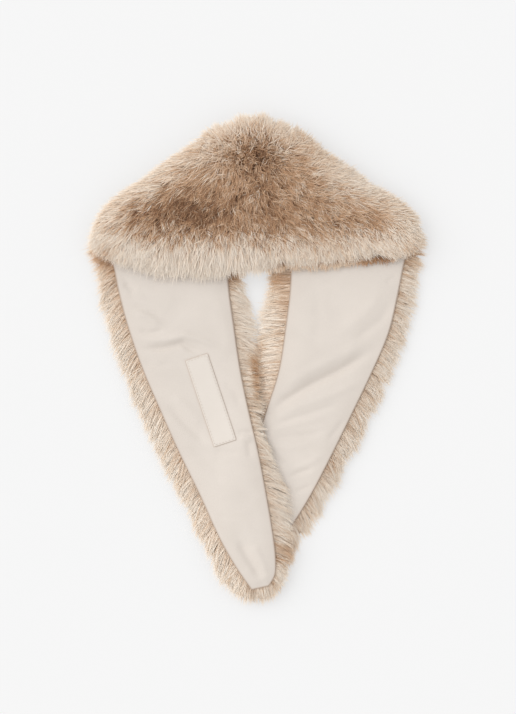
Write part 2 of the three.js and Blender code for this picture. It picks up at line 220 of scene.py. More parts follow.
def join(links, *joints):
    """Links, each given as a node and its output, and the node and input that it feeds."""
    for giver, output, taker, socket in joints:
        links.new(giver.outputs[output], taker.inputs[socket])


def ramp_of(nodes, colours):
    """A colour ramp node with its colours evenly spaced, pale to dark."""
    ramp = nodes.new("ShaderNodeValToRGB")
    stops = ramp.color_ramp.elements
    while len(stops) < len(colours):
        stops.new(0.5)
    for k, colour in enumerate(colours):
        stops[k].position = k / (len(colours) - 1)
        stops[k].color = linear(*colour)
    return ramp


def fur_colour_group():
    """Hair colour from how dark the hair is (Tone) and how far up it from the root (Along)."""
    group = bpy.data.node_groups.new("fur_colour", "ShaderNodeTree")
    for socket in ("Tone", "Along"):
        group.interface.new_socket(socket, in_out="INPUT", socket_type="NodeSocketFloat")
    group.interface.new_socket("Colour", in_out="OUTPUT", socket_type="NodeSocketColor")
    nodes, links = group.nodes, group.links
    given, made = nodes.new("NodeGroupInput"), nodes.new("NodeGroupOutput")
    rise, mix = new_nodes(nodes, "MapRange", "Mix")
    rise.interpolation_type = "SMOOTHSTEP"
    preset(rise, FUR_COLOUR_RISE)
    mix.data_type = "RGBA"
    roots, tips = ramp_of(nodes, FUR_ROOT_COLOURS), ramp_of(nodes, FUR_TIP_COLOURS)
    join(
        links, (given, "Along", rise, "Value"), (rise, "Result", mix, "Factor"),
        (given, "Tone", roots, "Fac"), (given, "Tone", tips, "Fac"),
        (roots, "Color", mix, "A"), (tips, "Color", mix, "B"), (mix, "Result", made, "Colour"),
    )
    return group


def plain_material(name, roughness, specular):
    """A new material with its shader's fixed values set, and its node tree."""
    material = bpy.data.materials.new(name)
    material.use_nodes = True
    shader = material.node_tree.nodes["Principled BSDF"]
    preset(shader, {"Roughness": roughness, "Specular IOR Level": specular})
    return material, material.node_tree.nodes, material.node_tree.links, shader


def guard_hair_material():
    """Long glossy hair. The bake map's X is each hair's tone, and its Y runs from root to tip."""
    material, nodes, links, shader = plain_material("guard_hair", roughness=0.5, specular=0.35)
    chart, parts, colour = new_nodes(nodes, "UVMap", "SeparateXYZ", "Group")
    chart.uv_map = "OFBake"
    colour.node_tree = fur_colour
    join(
        links, (chart, "UV", parts, "Vector"), (parts, "X", colour, "Tone"), (parts, "Y", colour, "Along"),
        (colour, "Colour", shader, "Base Color"),
    )
    return material


def underfur_material():
    """Dense short wool under the guard hair: root colours, broken up by fine streaks and pits."""
    material, nodes, links, shader = plain_material("underfur", roughness=0.95, specular=0.1)
    tone, colour, place, fleck, bump = new_nodes(nodes, "Attribute", "Group", "TexCoord", "TexNoise", "Bump")
    tone.attribute_name = "tone"
    colour.node_tree = fur_colour
    preset(fleck, {"Scale": 450, "Detail": 3})
    preset(bump, {"Distance": 1.2 * MM})
    join(
        links, (tone, "Fac", colour, "Tone"), (place, "Object", fleck, "Vector"),
        (fleck, "Fac", colour, "Along"), (fleck, "Fac", bump, "Height"),
        (colour, "Colour", shader, "Base Color"), (bump, "Normal", shader, "Normal"),
    )
    return material


fur_colour = fur_colour_group()
guard_hair = guard_hair_material()
underfur = underfur_material()


def undercoat(name, node, sunk, triangles, tone_at):
    """The underfur as one closed body inside the solid, with its tone kept on its corners."""
    piece = put(name, mesh_from(name, sunk, triangles), underfur)
    refine(piece, 1)
    keep_on_corners(piece.data, "tone", tone_at(corners_of(piece.data)))
    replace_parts(piece, node)


def tree_of(points):
    """A search tree that finds the nearest of some points. Plan points lie in it at height 0."""
    tree = KDTree(len(points))
    for k, point in enumerate(points.tolist()):
        tree.insert((*point, 0)[:3], k)
    tree.balance()
    return tree


def lock_leads(roots, hairs_each, random):
    """Which hair leads each hair's lock: the nearest one of a scatter of leading hairs."""
    leads = random.choice(len(roots), len(roots) // hairs_each, replace=False)
    tree = tree_of(roots[leads])
    return leads[[tree.find(root)[1] for root in roots.tolist()]]


def follow_leads(paths, leads, pull):
    """Hairs drawn together into locks: each leans towards its leading hair, most at its tip."""
    lean = pull[:, None] * np.array(GUARD_HAIR["steps"])[None] ** LOCK_DRAW["late"]
    beside = (paths[:, :1] - paths[leads, :1]) * LOCK_DRAW["apart"]
    return paths + lean[..., None] * (paths[leads] + beside - paths)


def between(ends, share):
    """The value at a share of the way from one end to the other."""
    return ends[0] + (ends[1] - ends[0]) * share


def trimmed(paths, solid, random, shorter):
    """Hairs that end near where they leave the solid, uneven by some millimetres, and which of them do."""
    corners, triangles, _ = solid
    tree = BVHTree.FromPolygons(corners.tolist(), triangles.tolist())
    count = len(paths)
    chords = paths[:, -1] - paths[:, 0]
    reach = np.linalg.norm(chords, axis=1)
    spare = between(TIP_SPREAD["range"], random.beta(*TIP_SPREAD["ends"], count))
    spare += (random.random(count) < STRAY_HAIR["share"]) * random.uniform(*STRAY_HAIR["longer"], count)
    spare -= shorter
    keep, inside = np.ones(count), np.zeros(count, bool)
    for k, (root, chord) in enumerate(zip(paths[:, 0].tolist(), unit(chords).tolist())):
        _, normal, _, distance = tree.ray_cast(root, chord)
        inside[k] = distance is not None and normal.dot(Vector(chord)) > 0
        if inside[k]:
            keep[k] = min(1, max(GUARD_HAIR["shortest"], (distance + spare[k]) / reach[k]))
    return paths[:, :1] + (paths - paths[:, :1]) * keep[:, None, None], inside


def laid_on(paths, nodes):
    """Hairs lifted clear of the solids that they lie on, and of the table."""
    paths[..., 2] = np.maximum(paths[..., 2], REST_GAP)
    if not nodes:
        return paths
    corners, triangles = [], []
    for node in nodes:
        more_corners, more_triangles, _ = solid_of(node)
        triangles += (more_triangles + len(corners)).tolist()
        corners += more_corners.tolist()
    tree = BVHTree.FromPolygons(corners, triangles)
    highest = max(corner[2] for corner in corners) + REST_GAP
    for hair, step in np.argwhere(paths[..., 2] < highest).tolist():
        x, y, height = paths[hair, step].tolist()
        below = tree.ray_cast((x, y, 2 * highest), (0, 0, -1))[0]
        if below is not None and height < below.z + REST_GAP:
            paths[hair, step, 2] = below.z + REST_GAP
    return paths


def hair_piece(name, node, paths, ups, tones, width, random):
    """Each hair as a tapering ribbon of three faces, the last one pointed, with its tone at each step."""
    count, rings = paths.shape[:2]
    tangents = unit(np.gradient(paths, axis=1))
    sides = unit(np.cross(tangents, ups[:, None]))
    rolled = unit(np.cross(tangents, sides))
    most = GUARD_HAIR_WIDTH["most_roll"]
    roll = np.clip(random.normal(0, GUARD_HAIR_WIDTH["roll"], count), -most, most)[:, None, None]
    sides = sides * np.cos(roll) + rolled * np.sin(roll)
    width = width * (GUARD_HAIR_WIDTH["least"] + GUARD_HAIR_WIDTH["more"] * random.random(count))
    half = width[:, None, None] * np.array(GUARD_HAIR["taper"])[None, :, None] / 2
    body = paths[:, : rings - 1]
    pairs = np.stack([body - sides[:, : rings - 1] * half, body + sides[:, : rings - 1] * half], axis=2)
    corners = np.concatenate([pairs.reshape(count, -1, 3), paths[:, -1:]], axis=1)
    each = corners.shape[1]
    pattern = np.array([0, 1, 3, 2, 2, 3, 5, 4, 4, 5, 6])
    starts = np.array([0, 4, 8])
    loops = (np.arange(count)[:, None] * each + pattern).ravel()
    mesh = bpy.data.meshes.new(name)
    mesh.vertices.add(count * each)
    mesh.vertices.foreach_set("co", (corners * MM).astype(np.float32).ravel())
    mesh.loops.add(len(loops))
    mesh.loops.foreach_set("vertex_index", loops.astype(np.int32))
    mesh.polygons.add(count * len(starts))
    first = (np.arange(count)[:, None] * len(pattern) + starts).ravel()
    mesh.polygons.foreach_set("loop_start", first.astype(np.int32))
    mesh.update(calc_edges=True)
    ring = np.arange(each) // 2
    across = np.array([0, 1, 0, 1, 0, 1, 0.5]) * GUARD_HAIR_CHART["across"]
    (tone_from, tone_room), (along_from, along_room) = GUARD_HAIR_CHART["tone"], GUARD_HAIR_CHART["along"]
    chart = np.empty((count, each, 2), np.float32)
    chart[..., 0] = np.clip(tones[:, ring], 0, 1) * tone_room + tone_from + across
    chart[..., 1] = along_from + along_room * np.array(GUARD_HAIR["steps"])[ring]
    mesh.uv_layers.new(name="OFBake").uv.foreach_set("vector", chart[:, pattern].ravel())
    flat = unit(np.cross(sides, tangents))
    soft = unit(flat * (1 - GUARD_HAIR["softness"]) + ups[:, None] * GUARD_HAIR["softness"])
    soft = np.concatenate([np.repeat(soft[:, : rings - 1], 2, axis=1), soft[:, -1:]], axis=1)
    mesh.normals_split_custom_set_from_vertices(soft.reshape(-1, 3).tolist())
    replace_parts(put(name, mesh, guard_hair), node)


def hair_paths(roots, start, bend, lengths):
    """Each hair's path: it sets off in its start direction, and bends more and more towards bend."""
    step = np.array(GUARD_HAIR["steps"])[None, :, None]
    return roots[:, None] + lengths[:, None, None] * (step * start[:, None] + step ** 2 * bend[:, None])


def edge_of(node, count, random):
    """Places along a suede panel's cut edge: the plan point, the way out, and the height under it."""
    corners, triangles, areas = solid_of(node)
    wall = np.abs(unit(areas)[:, 2]) < 0.5
    outwards = corner_normals(corners, triangles[wall], areas[wall] * (1, 1, 0))
    index, shares = scatter(triangles[wall], np.linalg.norm(areas[wall], axis=1), count, random)
    out = unit(at(outwards, index, shares))[:, :2]
    return at(corners, index, shares)[:, :2], out, corners[index, 2].min(axis=1)


def turned(headings, by):
    """Plan headings turned aside by the given slopes."""
    return unit(headings + np.column_stack([-headings[:, 1], headings[:, 0]]) * by[:, None])


def trim_hair(suede, comb, outer_sign, random):
    """Guard hair that grows at a front's edge and fans out past it, from the table up to over the edge."""
    count = TRIM_HAIR["hairs"]
    places, out, under = edge_of(suede, count, random)
    top, bottom = TRIM_RANGE
    share = np.clip((top - places[:, 1]) / (top - bottom), 0, 1)
    down = np.where(out[:, 0] * outer_sign > 0, between(comb["outer"], share), between(comb["inner"], share))
    inset = random.random(count) * SUEDE_COVER
    shallow, deeper = TRIM_HAIR["root_drop"]
    roots = np.column_stack([places - out * inset[:, None], under - shallow - deeper * random.random(count)])
    leads = lock_leads(roots, TRIM_HAIR["in_lock"], random)
    upper = random.random(count) < TRIM_FAN["upper_share"]
    spread = np.clip(random.random(count) + random.normal(0, TRIM_FAN["lock"], count)[leads], 0, 1)
    higher = between((TRIM_FAN["level"], TRIM_FAN["high"]), spread)
    lower = between((TRIM_FAN["low"], TRIM_FAN["level"]), spread)
    rise = np.radians(np.where(upper, higher, lower))
    wander = random.normal(0, TRIM_WANDER["lock"], count)[leads]
    wander += random.normal(0, TRIM_WANDER["own"], count)
    wander += TRIM_WANDER["sway"] * ripple(roots, TRIM_WANDER["sway_size"], 2.2)
    combing = np.column_stack([np.zeros(count), -down])
    heading = turned(unit(out + TRIM_LIE["root_comb"] * combing), wander)
    combed = turned(unit(out + TRIM_LIE["tip_comb"] * combing), TRIM_WANDER["at_tip"] * wander)
    start = np.column_stack([heading * np.cos(rise)[:, None], np.sin(rise)])
    sag = TRIM_LIE["sag"] + TRIM_LIE["risen_sag"] * np.maximum(rise, 0)
    bend = np.column_stack([(combed - heading) * TRIM_LIE["turn"], -sag])
    paths = hair_paths(roots, start, bend, random.uniform(*TRIM_HAIR["length"], count))
    return paths, leads, unit(np.column_stack([out * TRIM_LIE["lean"], np.ones(count)]))


def underside_hair(solid, suede, random):
    """Guard hair pressed flat between a front and the table, combed towards the front's tip."""
    corners, triangles, areas = solid
    count = UNDERSIDE_HAIR["hairs"]
    covered = plan_gap(corners[triangles].mean(axis=1), suede) < UNDERSIDE_HAIR["past_suede"]
    below = (unit(areas)[:, 2] < -0.8) & covered
    index, shares = scatter(triangles[below], np.linalg.norm(areas[below], axis=1), count, random)
    roots = at(corners, index, shares) + (0, 0, UNDERSIDE_HAIR["root_lift"])
    leads = lock_leads(roots, TRIM_HAIR["in_lock"], random)
    turn = -np.pi / 2 + UNDERSIDE_WANDER["sway"] * ripple(roots, UNDERSIDE_WANDER["sway_size"], 2.9)
    turn += random.normal(0, UNDERSIDE_WANDER["own"], count)
    start = np.column_stack([np.cos(turn), np.sin(turn), np.full(count, -UNDERSIDE_HAIR["dip"])])
    lengths = random.uniform(*TRIM_HAIR["length"], count) * UNDERSIDE_HAIR["shorter"]
    paths = hair_paths(roots, start, start * 0, lengths)
    return paths, leads, np.tile((0.0, 0.0, -1.0), (count, 1))


def spotted(places, spots):
    """What a table of spots adds at each place, fading out over each spot's half sizes."""
    added = np.zeros(len(places))
    for spot in spots:
        x = (places[:, 0] - spot["x"]) / spot["half_x"]
        y = (places[:, 1] - spot["y"]) / spot["half_y"]
        added += spot["more"] * np.exp(-0.8 * (x ** 2 + y ** 2))
    return added


def blotched(places, blotches):
    """What a table of soft uneven blotches adds at each place."""
    return sum(row["more"] * ripple(places, row["size"], row["seed"]) for row in blotches)


def trim_tone(places):
    """How dark a front's fur is: pale, with uneven tan stretches, plus spots of painted shade and painted
    light.
    """
    return TRIM_TONE["plain"] + blotched(places, TRIM_BLOTCHES) + spotted(places, FRONT_TONE_AND_PAINTED_LIGHT_SPOTS)


def front_fur(side, comb, outer_sign, lies_on, seed):
    """One front's underfur and guard hair, inside the solid of its fur."""
    node, suede = f"fur_front_{side}", f"suede_front_{side}"
    random = np.random.default_rng(seed)
    solid = solid_of(node)
    corners, triangles, _ = solid
    normals = corner_normals(*solid)
    rim = np.clip(plan_gap(corners, suede) / SUEDE_COVER, 0, 1)[:, None]
    fuller = np.clip(spotted(corners, FRONT_FULLER_SPOTS), *FRONT_FULLER_LIMITS)[:, None]
    inset = rim * (UNDERCOAT["inset"] - UNDERCOAT["fuller_inset"] * fuller)
    sunk = corners - inset * normals * (1, 1, 0)
    drop = rim[:, 0] * UNDERCOAT["drop"] + (1 - rim[:, 0]) * UNDERCOAT["drop_under_suede"]
    sunk[:, 2] -= np.maximum(normals[:, 2], 0) * drop
    sunk[:, 2] += np.maximum(-normals[:, 2], 0) * UNDERCOAT["lift"]
    undercoat(f"underfur_front_{side}", node, sunk, triangles, trim_tone)
    paths, leads, ups = trim_hair(suede, comb, outer_sign, random)
    more_paths, more_leads, more_ups = underside_hair(solid, suede, random)
    leads = np.concatenate([leads, more_leads + len(paths)])
    paths, ups = np.concatenate([paths, more_paths]), np.concatenate([ups, more_ups])
    count = len(paths)
    paths = follow_leads(paths, leads, random.uniform(*LOCK_DRAW["trim_pull"], count))
    fallen = smooth_step(TRIM_FALLEN["from"], TRIM_FALLEN["to"], paths[:, 0, 2] - paths[:, -1, 2])
    shorter = TRIM_FALLEN["shorter"] * fallen - spotted(paths[:, -1], FRONT_FULLER_SPOTS)
    paths, inside = trimmed(paths, solid, random, shorter)
    paths = laid_on(paths, lies_on)
    tones = np.stack([trim_tone(paths[:, step]) for step in range(paths.shape[1])], axis=1)
    own_tone = random.normal(0, TRIM_TONE["own"], count) + random.normal(0, TRIM_TONE["lock"], count)[leads]
    tones += own_tone[:, None]
    name, width = f"guard_hair_front_{side}", TRIM_HAIR["width"]
    hair_piece(name, node, paths[inside], ups[inside], tones[inside], width, random)


def plan_gap(points, suede):
    """How far outside a suede panel's plan outline each point lies, and 0 where the suede covers it."""
    corners, triangles, areas = solid_of(suede)
    facing = unit(areas)[:, 2]
    cover = BVHTree.FromPolygons(corners.tolist(), triangles[np.abs(facing) > 0.5].tolist())
    edge = corners[np.unique(triangles[np.abs(facing) < 0.5])][:, :2]
    overhead = points[:, 2].max() + 100
    gaps = np.empty(len(points))
    for k, (x, y, _) in enumerate(points.tolist()):
        covered = cover.ray_cast((x, y, overhead), (0, 0, -1))[0] is not None
        gaps[k] = 0 if covered else np.sqrt(((edge - (x, y)) ** 2).sum(axis=1).min())
    return gaps


front_fur("right", RIGHT_TRIM_COMB, 1, [], seed=11)

# The suede of the right front is the skin side of the strip, buffed to a soft pale nap. It lies on its
# own fur, a little dished at its raw edges, with a broad soft crease from the lapped edge upwards.

SUEDE_THICK = 1.4
SUEDE_LEVELS = {"front_right": 3, "front_left": 3, "back": 2}
# Painted shade at the suede's cut edges: a dark line in the gap where the fur starts, and a faint darkening
# that fades over about 14 mm inwards. The edge colour is that shade.
SUEDE_EDGE_SHADE = {"line": 1.5, "dark": 0.8, "fade": 14, "pale": 0.07}
SUEDE_COLOURS = {"nap": (221, 212, 203), "shade": (212, 203, 194), "edge": (168, 143, 122)}
NAP_SHEEN = {"Sheen Weight": 0.12, "Sheen Roughness": 0.6}
PATCH = {"width": 33.5, "length": 128, "corner": 2.2, "centre": (-63.9, -56.6), "turn": 18.5, "thick": 0.9}
# The line below is painted shadow of the patch's raised edge on the left front's suede.
PATCH_SHADOW_LINE = {"dark": 0.12, "width": 1.3}
CREASE_ENDS = {"fade": 0.25, "left": 0.15}
CREASES = {
    "front_right": table(
        "path half rise",
        ([(18, -76), (40, -58), (76, -36), (112, -18), (139, -2), (162, 13)], 6.4, -4.6),
        ([(22, -86), (58, -66), (103, -50), (148, -30)], 6, 1.5),
        ([(30, -42), (80, -14), (130, 12), (162, 32)], 8, 1.9),
        ([(18, -94), (67, -78), (121, -60)], 4.4, -1.3),
        ([(13, -101), (67, -87), (103, -78)], 5, 1.0),
        ([(20, -110), (76, -105), (99, -98)], 4.6, -1.2),
        ([(24, -124), (60, -122), (84, -114)], 5, 0.8),
        ([(14, -118), (28, -138), (46, -150)], 4.4, -1.2),
        ([(46, -164), (60, -159), (82, -152)], 4, -1.6),
        ([(50, -154), (76, -144), (92, -134)], 5, 1.1),
        ([(52, -188), (78, -176)], 4, -1.3),
        ([(100, -114), (124, -84)], 4.4, -1.1),
        ([(134, 24), (175, 56), (192, 84)], 7, -1.7),
        ([(110, 34), (150, 62), (176, 96)], 8, 1.4),
        ([(84, 106), (88, 50), (80, 20)], 9, -0.9),
        ([(180, 108), (200, 118)], 4, -1.0),
    ),
    "front_left": table(
        "path half rise",
        ([(-162, 15), (-131, 16), (-104, 23), (-93, 16), (-72, 8)], 4.2, -3.3),
        ([(-166, 30), (-140, 27), (-120, 29), (-102, 34), (-77, 28), (-45, 15)], 5, 2.6),
        ([(-166, 42), (-150, 37), (-128, 42)], 4, -1.8),
        ([(-172, 66), (-152, 60), (-132, 48)], 4.6, 1.6),
        ([(-176, 78), (-156, 72), (-130, 60)], 4.4, -1.4),
        ([(-186, 108), (-168, 97)], 4.4, -1.6),
        ([(-188, 120), (-176, 96), (-172, 84)], 4.6, -1.0),
        ([(-160, 0), (-138, -8), (-118, -6)], 4.6, -1.1),
        ([(-126, -60), (-102, -87), (-82, -105), (-70, -122)], 6.4, -2.4),
        ([(-118, -46), (-92, -74), (-74, -94)], 7, 1.4),
        ([(-100, -112), (-60, -150), (-48, -180)], 8, -1.0),
        ([(-28, -102), (-4, -101)], 3.6, -1.7),
        ([(-24, -109), (-6, -110)], 4, 1.3),
        ([(-12, -112), (-8, -138)], 5, -1.8),
        ([(-62, -128), (-23, -132)], 5, -1.5),
        ([(-48, -30), (-30, -44), (-22, -66)], 5, -1.1),
        ([(-26, -250), (-12, -276), (2, -298), (9, -309)], 6.4, -3.0),
        ([(-6, -256), (8, -284), (14, -300)], 6, 1.5),
        ([(-60, 96), (-44, 48), (-34, 0)], 11, 1.0),
    ),
    "back": table(
        "path half rise",
        ([(-120, 200), (-90, 226), (-60, 240)], 8, 0.5),
        ([(40, 190), (84, 206), (120, 230)], 8, -0.5),
        ([(-40, 176), (-6, 190), (30, 178)], 8, 0.4),
    ),
}


def crease_lift(places, creases):
    """The height that soft troughs and ridges add: each fades out from its line and at its two ends."""
    lift = np.zeros(len(places))
    for crease in creases:
        path = np.array(crease["path"], float)
        runs = path[1:] - path[:-1]
        lengths = np.linalg.norm(runs, axis=1)
        before = np.concatenate([[0], np.cumsum(lengths)])
        aside, along = np.full(len(places), np.inf), np.zeros(len(places))
        for start, run, length, past in zip(path[:-1], runs, lengths, before):
            share = np.clip((places[:, :2] - start) @ run / length ** 2, 0, 1)
            gap = np.linalg.norm(places[:, :2] - start - share[:, None] * run, axis=1)
            along = np.where(gap < aside, (past + share * length) / before[-1], along)
            aside = np.minimum(gap, aside)
        fade = smooth_step(0, CREASE_ENDS["fade"], along) * smooth_step(0, CREASE_ENDS["fade"], 1 - along)
        fade = fade * (1 - CREASE_ENDS["left"]) + CREASE_ENDS["left"]
        lift += crease["rise"] * np.exp(-(aside / crease["half"]) ** 2) * fade
    return lift


def nap_group():
    """Brushed nap: Mottle is soft patches where the nap lies another way, and Height its fine grain."""
    group = bpy.data.node_groups.new("nap", "ShaderNodeTree")
    for socket in ("Patch scale", "Grain scale"):
        group.interface.new_socket(socket, in_out="INPUT", socket_type="NodeSocketFloat")
    for socket in ("Mottle", "Height"):
        group.interface.new_socket(socket, in_out="OUTPUT", socket_type="NodeSocketFloat")
    nodes, links = group.nodes, group.links
    given, made = nodes.new("NodeGroupInput"), nodes.new("NodeGroupOutput")
    place, patches, grain, blend = new_nodes(nodes, "TexCoord", "TexNoise", "TexNoise", "Mix")
    preset(patches, {"Detail": 5, "Distortion": 0.6})
    preset(grain, {"Detail": 4, "Roughness": 0.7})
    preset(blend, {"Factor": 0.5})
    join(
        links, (place, "Object", patches, "Vector"), (given, "Patch scale", patches, "Scale"),
        (place, "Object", grain, "Vector"), (given, "Grain scale", grain, "Scale"),
        (patches, "Fac", blend, "A"), (grain, "Fac", blend, "B"),
        (blend, "Result", made, "Mottle"), (grain, "Fac", made, "Height"),
    )
    return group


def nap_material(name, colours, patch_scale, grain_scale):
    """Buffed suede: a pale nap with faint mottling, darkened towards the edge colour where the corners' edge
    value says: painted shade along a panel's cut edge and round the patch, and a dark line along the patch's
    own edge.
    """
    material, nodes, links, shader = plain_material(name, roughness=0.92, specular=0.12)
    preset(shader, NAP_SHEEN)
    surface, edge, spread = new_nodes(nodes, "Group", "Attribute", "MapRange")
    mottled, edged, bump = new_nodes(nodes, "Mix", "Mix", "Bump")
    surface.node_tree = nap
    edge.attribute_name = "edge"
    mottled.data_type = edged.data_type = "RGBA"
    preset(surface, {"Patch scale": patch_scale, "Grain scale": grain_scale})
    preset(spread, {"From Min": 0.3, "From Max": 0.7})
    preset(mottled, {"A": linear(*colours["nap"]), "B": linear(*colours["shade"])})
    preset(edged, {"B": linear(*colours["edge"])})
    preset(bump, {"Distance": 0.25 * MM, "Strength": 0.5})
    join(
        links, (surface, "Mottle", spread, "Value"), (spread, "Result", mottled, "Factor"),
        (mottled, "Result", edged, "A"), (edge, "Fac", edged, "Factor"),
        (edged, "Result", shader, "Base Color"), (surface, "Height", bump, "Height"),
        (bump, "Normal", shader, "Normal"),
    )
    return material


nap = nap_group()
suede_nap = nap_material("suede_nap", SUEDE_COLOURS, patch_scale=22, grain_scale=700)


def skin_side(part, facing):
    """The panel's outer surface as a plain sheet of four-sided faces, where facing is 1 up or -1 down."""
    corners, triangles, areas = solid_of(f"suede_{part}")
    outer = triangles[unit(areas)[:, 2] * facing > 0.5]
    used, renumbered = np.unique(outer, return_inverse=True)
    mesh = mesh_from(f"suede_{part}_sheet", corners[used], renumbered.reshape(-1, 3))
    work = bmesh.new()
    work.from_mesh(mesh)
    bmesh.ops.join_triangles(work, faces=work.faces, angle_face_threshold=0.6, angle_shape_threshold=3.1)
    work.to_mesh(mesh)
    work.free()
    return mesh


def patch_gap(places):
    """How far each place is from the patch's outline: above 0 outside it, and below 0 on it."""
    turn = np.radians(PATCH["turn"])
    x, y = (places[:, :2] - PATCH["centre"]).T
    across = np.abs(x * np.cos(turn) + y * np.sin(turn)) - PATCH["width"] / 2
    along = np.abs(y * np.cos(turn) - x * np.sin(turn)) - PATCH["length"] / 2
    return np.hypot(np.maximum(across, 0), np.maximum(along, 0)) + np.minimum(np.maximum(across, along), 0)


def patch_shadow_line(part, places):
    """A faint dark line of painted shadow round the patch's raised edge on the left front's suede."""
    if part != "front_left":
        return 0
    return PATCH_SHADOW_LINE["dark"] * np.exp(-(np.maximum(patch_gap(places), 0) / PATCH_SHADOW_LINE["width"]) ** 2)


def plan_distance(places, tree):
    """How far each place is from the nearest of a tree's points, in plan."""
    return np.array([tree.find((x, y, 0))[2] for x, y, _ in places.tolist()])


def thicken(piece, thickness):
    """A sheet given its thickness, downwards from its outer face."""
    shell = piece.modifiers.new("thickness", "SOLIDIFY")
    shell.thickness = thickness * MM
    shell.offset = -1
    bake_modifiers(piece)


def suede_panel(part, facing):
    """One suede panel: its fine sheet with the small creases, painted shade along its cut edge and round the
    patch, and its thickness.
    """
    piece = put(f"suede_{part}_panel", skin_side(part, facing), suede_nap)
    refine(piece, SUEDE_LEVELS[part])
    mesh = piece.data
    places = corners_of(mesh)
    places[:, 2] += crease_lift(places, CREASES[part])
    mesh.vertices.foreach_set("co", (places * MM).ravel())
    work = bmesh.new()
    work.from_mesh(mesh)
    rim = np.array([corner.co[:2] for corner in work.verts if corner.is_boundary]) / MM
    work.free()
    gap = plan_distance(places, tree_of(rim))
    # Painted shade: a dark line in the gap at the cut edge, a faint darkening fading inwards, and on the
    # left front the patch's painted shadow line.
    tint = SUEDE_EDGE_SHADE["dark"] * np.exp(-(gap / SUEDE_EDGE_SHADE["line"]) ** 2)
    tint += SUEDE_EDGE_SHADE["pale"] * np.exp(-gap / SUEDE_EDGE_SHADE["fade"])
    keep_on_corners(mesh, "edge", np.minimum(tint + patch_shadow_line(part, places), 1))
    thicken(piece, SUEDE_THICK)
    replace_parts(piece, f"suede_{part}")
    return piece


suede_panel("front_right", 1)

# The left front's fur is the same hide. Its lower end laps over the right front, so its inner trim lies
# on the right front's suede, combed down and to the right.

LEFT_TRIM_COMB = {"outer": (0.4, 2.6), "inner": (0.4, 0.75)}

front_fur("left", LEFT_TRIM_COMB, -1, ["fur_front_right", "suede_front_right"], seed=12)

# The left front's suede lies on its fur and runs to a clipped point over the right front. It carries the
# wrap's patch, and soft wrinkles lead down to it.

left_suede = suede_panel("front_left", 1)

# The patch is a plain oblong of thinner, paler suede on the left front, stitched round its edge. It is
# bare, and lies on the panel in its slopes.

PATCH_CELL = 1.4
PATCH_LIFT = 0.1
PATCH_EDGE = {"roll": 0.35, "roll_width": 1.6, "groove": 0.14, "dark": 0.7, "line_width": 0.9}
PATCH_COLOURS = {"nap": (224, 216, 207), "shade": (220, 211, 202), "edge": (190, 172, 156)}
STITCH = {"length": 3.0, "gap": 1.3, "thick": 0.42, "inset": 2.6, "sides": 6, "rings": 4}
STITCH_BOW = {"sunk": 0.12, "rise": 0.2, "blunt": 0.02}
THREAD_COLOUR = (222, 211, 199)
THREAD_SHADE = 0.88


def patch_place(across, along):
    """A point of the patch, from its middle, as a plan point of the frame."""
    turn = np.radians(PATCH["turn"])
    x = PATCH["centre"][0] + across * np.cos(turn) - along * np.sin(turn)
    y = PATCH["centre"][1] + across * np.sin(turn) + along * np.cos(turn)
    return x, y


def suede_height(piece):
    """A function that gives the height of the piece's top over a plan point."""
    mesh = piece.data
    faces = [tuple(face.vertices) for face in mesh.polygons]
    tree = BVHTree.FromPolygons(corners_of(mesh).tolist(), faces)
    return lambda x, y: tree.ray_cast((x, y, 200), (0, 0, -1))[0].z


def patch_panel(height):
    """The patch as a fine grid with rounded corners, laid on the suede."""
    columns, rows = round(PATCH["width"] / PATCH_CELL), round(PATCH["length"] / PATCH_CELL)
    half = np.array((PATCH["width"], PATCH["length"])) / 2
    inner, corner = half - PATCH["corner"], PATCH["corner"]
    corners, edge = [], []
    for row, column in np.ndindex(rows + 1, columns + 1):
        place = (2 * np.array((column / columns, row / rows)) - 1) * half
        over = np.maximum(np.abs(place) - inner, 0)
        if over.min() > 0:
            place = np.sign(place) * (inner + over * corner / max(np.hypot(*over), corner))
        gap = (half - np.abs(place)).min()
        roll = PATCH_EDGE["roll"] * np.exp(-(gap / PATCH_EDGE["roll_width"]) ** 2)
        groove = PATCH_EDGE["groove"] * np.exp(-((gap - STITCH["inset"]) / PATCH_EDGE["line_width"]) ** 2)
        x, y = patch_place(*place)
        corners.append((x, y, height(x, y) + PATCH_LIFT + PATCH["thick"] - roll - groove))
        edge.append(PATCH_EDGE["dark"] * np.exp(-(gap / PATCH_EDGE["line_width"]) ** 2))
    next_row = columns + 1
    firsts = [k for k in range(rows * next_row) if k % next_row < columns]
    faces = [(k, k + 1, k + next_row + 1, k + next_row) for k in firsts]
    piece = put("patch_panel", mesh_from("patch_panel", np.array(corners), faces), patch_nap)
    keep_on_corners(piece.data, "edge", np.array(edge))
    thicken(piece, PATCH["thick"])
    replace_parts(piece, "patch")
    return piece


def thread_material():
    """Matt spun thread with a fine twist."""
    material, nodes, links, shader = plain_material("thread", roughness=0.8, specular=0.2)
    place, twist, tint, bump = new_nodes(nodes, "TexCoord", "TexWave", "Mix", "Bump")
    tint.data_type = "RGBA"
    twist.bands_direction = "DIAGONAL"
    shade = linear(*(THREAD_SHADE * value for value in THREAD_COLOUR))
    preset(tint, {"A": linear(*THREAD_COLOUR), "B": shade})
    preset(twist, {"Scale": 900})
    preset(bump, {"Distance": 0.1 * MM})
    join(
        links, (place, "Object", twist, "Vector"), (twist, "Fac", tint, "Factor"),
        (twist, "Fac", bump, "Height"), (tint, "Result", shader, "Base Color"),
        (bump, "Normal", shader, "Normal"),
    )
    return material


